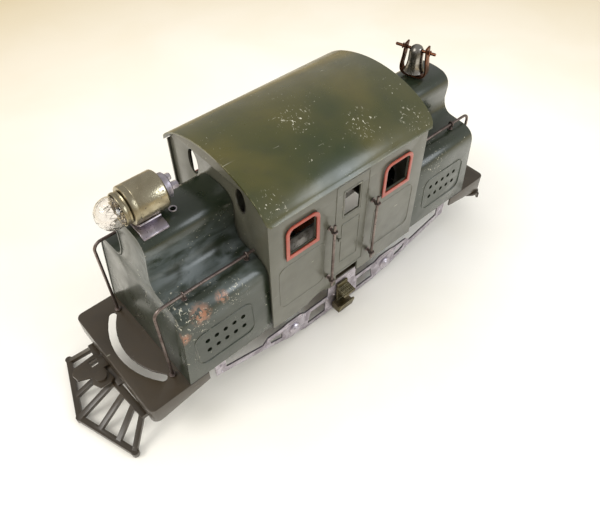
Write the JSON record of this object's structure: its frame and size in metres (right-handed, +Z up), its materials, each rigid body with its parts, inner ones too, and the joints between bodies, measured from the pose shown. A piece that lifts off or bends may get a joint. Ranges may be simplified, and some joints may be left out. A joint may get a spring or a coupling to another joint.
{
  "type": "model electric locomotive",
  "caption": "Toy steeple-cab electric locomotive with leaning hoods, arched cab roof, slatted pilot, round headlight, hanging bell and geared motor.",
  "frame": {"origin": "under the middle of the whole engine, pilot and couplers included, at the bottom of the wheel flanges", "axes": "+X towards the headlight and pilot end, +Y to the left side, +Z up"},
  "size_m": [0.2404, 0.0754, 0.1098],
  "materials": {
    "green_paint": "aged dark green enamel with chips",
    "brown_paint": "worn dark brown enamel",
    "red_paint": "orange-red enamel",
    "nickel": "tarnished nickel plate",
    "steel": "aged steel",
    "brass": "tarnished brass",
    "copper": "tarnished copper",
    "iron": "bare cast iron",
    "fibre": "vulcanised fibre board",
    "bulb_glass": "clear blown glass"
  },
  "bodies": {
    "chassis": {"front_hood": "green_paint", "front_hood_end_plate": "green_paint", "rear_hood": "green_paint", "rear_hood_end_plate": "green_paint", "cab_side_left": "green_paint", "cab_side_right": "green_paint", "cab_end_front": "green_paint", "cab_end_rear": "green_paint", "roof": "green_paint", "platform": "brown_paint", "pilot": "brown_paint", "window_frame_left_front": "red_paint", "window_frame_right_front": "red_paint", "window_frame_left_rear": "red_paint", "window_frame_right_rear": "red_paint", "side_frame_left": "nickel", "side_frame_right": "nickel", "headlight_cap": "nickel", "headlight_bracket": "nickel", "hood_handrail_front_left": "steel", "hood_handrail_front_right": "steel", "hood_handrail_rear_left": "steel", "hood_handrail_rear_right": "steel", "cab_handrail_left_front": "steel", "cab_handrail_left_rear": "steel", "cab_handrail_right_front": "steel", "cab_handrail_right_rear": "steel", "front_coupler_rivet": "steel", "rear_coupler_rivet": "steel", "motor_plate_left": "steel", "motor_plate_right": "steel", "headlight_barrel": "brass", "headlight_socket": "brass", "step_left": "brass", "step_right": "brass", "bell_yoke": "copper", "bell_pin": "copper", "field_coil": "copper", "field_core": "iron", "brush_plate": "fibre", "pickup_plate": "fibre", "headlight_bulb": "bulb_glass"},
    "front_wheelset": {"front_axle": "steel", "front_wheel_left": "iron", "front_wheel_right": "iron"},
    "rear_wheelset": {"rear_axle": "steel", "rear_wheel_left": "iron", "rear_wheel_right": "iron"},
    "front_gear_cluster": {"intermediate_gear_front": "brass"},
    "rear_gear_cluster": {"intermediate_gear_rear": "brass"},
    "motor_armature": {"armature": "copper"},
    "front_coupler": {"front_coupler": "brown_paint"},
    "rear_coupler": {"rear_coupler": "brown_paint"},
    "bell": {"bell": "nickel"},
    "front_pickup_arm": {"pickup_arm_front": "brass"},
    "rear_pickup_arm": {"pickup_arm_rear": "brass"},
    "front_pickup_roller": {"pickup_roller_front": "brass"},
    "rear_pickup_roller": {"pickup_roller_rear": "brass"}
  },
  "joints": [
    {"name": "front_axle_spin", "type": "hinge", "parent": "chassis", "child": "front_wheelset", "pos_m": [0.01929, 0, 0.012], "axis": [0, 1, 0], "continuous": true},
    {"name": "rear_axle_spin", "type": "hinge", "parent": "chassis", "child": "rear_wheelset", "pos_m": [-0.04271, 0, 0.012], "axis": [0, 1, 0], "continuous": true},
    {"name": "front_gear_spin", "type": "hinge", "parent": "chassis", "child": "front_gear_cluster", "pos_m": [0.0045, 0, 0.0155], "axis": [0, 1, 0], "continuous": true},
    {"name": "rear_gear_spin", "type": "hinge", "parent": "chassis", "child": "rear_gear_cluster", "pos_m": [-0.02792, 0, 0.0155], "axis": [0, 1, 0], "continuous": true},
    {"name": "armature_spin", "type": "hinge", "parent": "chassis", "child": "motor_armature", "pos_m": [-0.01171, 0, 0.018], "axis": [0, 1, 0], "continuous": true},
    {"name": "front_coupler_swing", "type": "hinge", "parent": "chassis", "child": "front_coupler", "pos_m": [0.09389, -0.009, 0.01465], "axis": [0, 0, 1], "range_deg": [-16, 16]},
    {"name": "rear_coupler_swing", "type": "hinge", "parent": "chassis", "child": "rear_coupler", "pos_m": [-0.08071, 0, 0.01465], "axis": [0, 0, 1], "range_deg": [0, 76]},
    {"name": "bell_swing", "type": "hinge", "parent": "chassis", "child": "bell", "pos_m": [-0.08371, 0, 0.1026], "axis": [-0.284, 0.9588, 0], "range_deg": [-40, 40]},
    {"name": "front_pickup_lift", "type": "hinge", "parent": "chassis", "child": "front_pickup_arm", "pos_m": [0.00329, 0, 0.0049], "axis": [0, -1, 0], "range_deg": [0, 12], "stiffness_Nm_per_rad": 0.02, "springref_deg": -8.59},
    {"name": "rear_pickup_lift", "type": "hinge", "parent": "chassis", "child": "rear_pickup_arm", "pos_m": [-0.02671, 0, 0.0049], "axis": [0, 1, 0], "range_deg": [0, 12], "stiffness_Nm_per_rad": 0.02, "springref_deg": -8.59},
    {"name": "front_pickup_roll", "type": "hinge", "parent": "front_pickup_arm", "child": "front_pickup_roller", "pos_m": [0.01229, 0, 0.0039], "axis": [0, 1, 0], "continuous": true},
    {"name": "rear_pickup_roll", "type": "hinge", "parent": "rear_pickup_arm", "child": "rear_pickup_roller", "pos_m": [-0.03571, 0, 0.0039], "axis": [0, 1, 0], "continuous": true}
  ],
  "couplings": [
    {"joint": "front_axle_spin", "follows": "armature_spin", "ratio": 0.18817},
    {"joint": "rear_axle_spin", "follows": "armature_spin", "ratio": 0.18817},
    {"joint": "front_gear_spin", "follows": "armature_spin", "ratio": -0.32258},
    {"joint": "rear_gear_spin", "follows": "armature_spin", "ratio": -0.32258}
  ]
}
